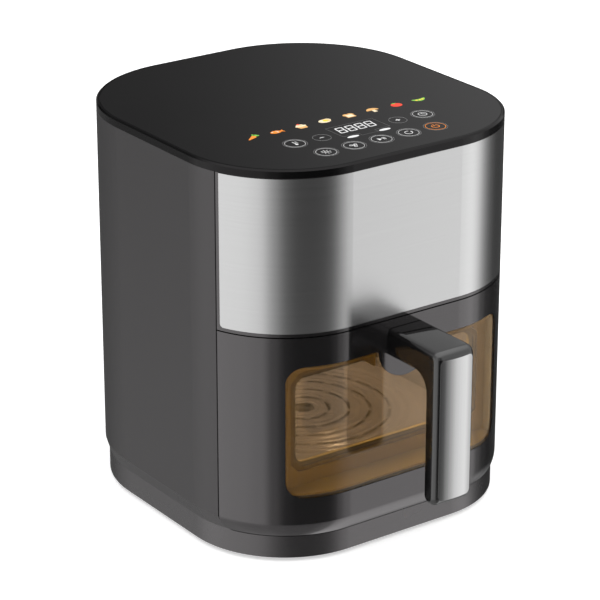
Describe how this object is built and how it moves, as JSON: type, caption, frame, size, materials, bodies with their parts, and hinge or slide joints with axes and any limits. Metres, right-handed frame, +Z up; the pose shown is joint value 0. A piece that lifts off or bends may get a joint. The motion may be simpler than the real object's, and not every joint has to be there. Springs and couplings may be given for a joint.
{
  "type": "air fryer",
  "caption": "Drawer air fryer with rounded corners, a tinted window in the drawer front, an upright handle, a brushed steel band and a touch panel on top.",
  "frame": {"origin": "on the worktop, under the middle of the whole object's bounding box", "axes": "+Z up, the drawer and handle face -Y, +X to the right as seen from the front"},
  "size_m": [0.273, 0.3486, 0.316],
  "materials": {
    "shell_grey": "satin",
    "front_grey": "gloss",
    "black_gloss": "gloss",
    "black_plastic": "satin",
    "steel": "brushed",
    "rubber": "matte",
    "zinc": "bright",
    "amber_glass": "polished",
    "clear_glass": "polished",
    "coated_steel": "non-stick",
    "aluminised": "satin",
    "element_steel": "oxidised",
    "motor_iron": "laminated",
    "shaft_steel": "ground",
    "bronze": "sintered",
    "white_plastic": "satin",
    "board_green": "satin",
    "lamp_white": "frosted"
  },
  "bodies": {
    "housing": {"base_tray": "shell_grey", "rubber_feet": "rubber", "outer_shell": "shell_grey", "rear_vent_grille": "shell_grey", "cord_gland": "black_plastic", "top_cover": "black_gloss", "control_panel": "black_gloss", "front_fascia": "front_grey", "steel_band": "steel", "bay_frame": "black_plastic", "cooking_chamber": "aluminised", "drawer_runners": "black_plastic", "drawer_switch": "black_plastic", "heater_dome": "aluminised", "heating_element": "element_steel", "element_guard": "zinc", "heat_shield": "aluminised", "motor_frame": "aluminised", "motor_end_cap": "aluminised", "motor_stator": "motor_iron", "motor_bearings": "bronze", "control_board": "board_green", "touch_pads": "rubber", "display_module": "white_plastic", "power_board": "board_green", "ntc_sensor": "element_steel", "thermal_fuse": "white_plastic", "lamp_lens": "clear_glass", "chamber_lamp": "lamp_white"},
    "fan_set": {"motor_shaft": "shaft_steel", "motor_rotor": "motor_iron", "hot_air_fan": "aluminised", "cooling_fan": "white_plastic"},
    "switch_button": {"switch_plunger": "white_plastic"},
    "drawer": {"drawer_front": "front_grey", "window_glass": "amber_glass", "window_surround": "black_plastic", "drawer_back_cover": "black_plastic", "basket": "coated_steel", "inner_glass_seal": "rubber", "inner_glass": "clear_glass", "handle": "black_gloss", "grip_inlay": "steel", "handle_bracket": "aluminised"},
    "crisper": {"crisper_plate": "coated_steel", "plate_feet": "rubber"}
  },
  "joints": [
    {"name": "drawer_slide", "type": "slide", "parent": "housing", "child": "drawer", "axis": [0, -1, 0], "range_m": [0, 0.2]},
    {"name": "plate_lift", "type": "slide", "parent": "drawer", "child": "crisper", "axis": [0, 0, 1], "range_m": [0, 0.09]},
    {"name": "fan_spin", "type": "hinge", "parent": "housing", "child": "fan_set", "pos_m": [0, 0.0426, 0.25], "axis": [0, 0, 1], "continuous": true},
    {"name": "switch_press", "type": "slide", "parent": "housing", "child": "switch_button", "axis": [0, 1, 0], "range_m": [0, 0.002], "stiffness_N_per_m": 200}
  ]
}
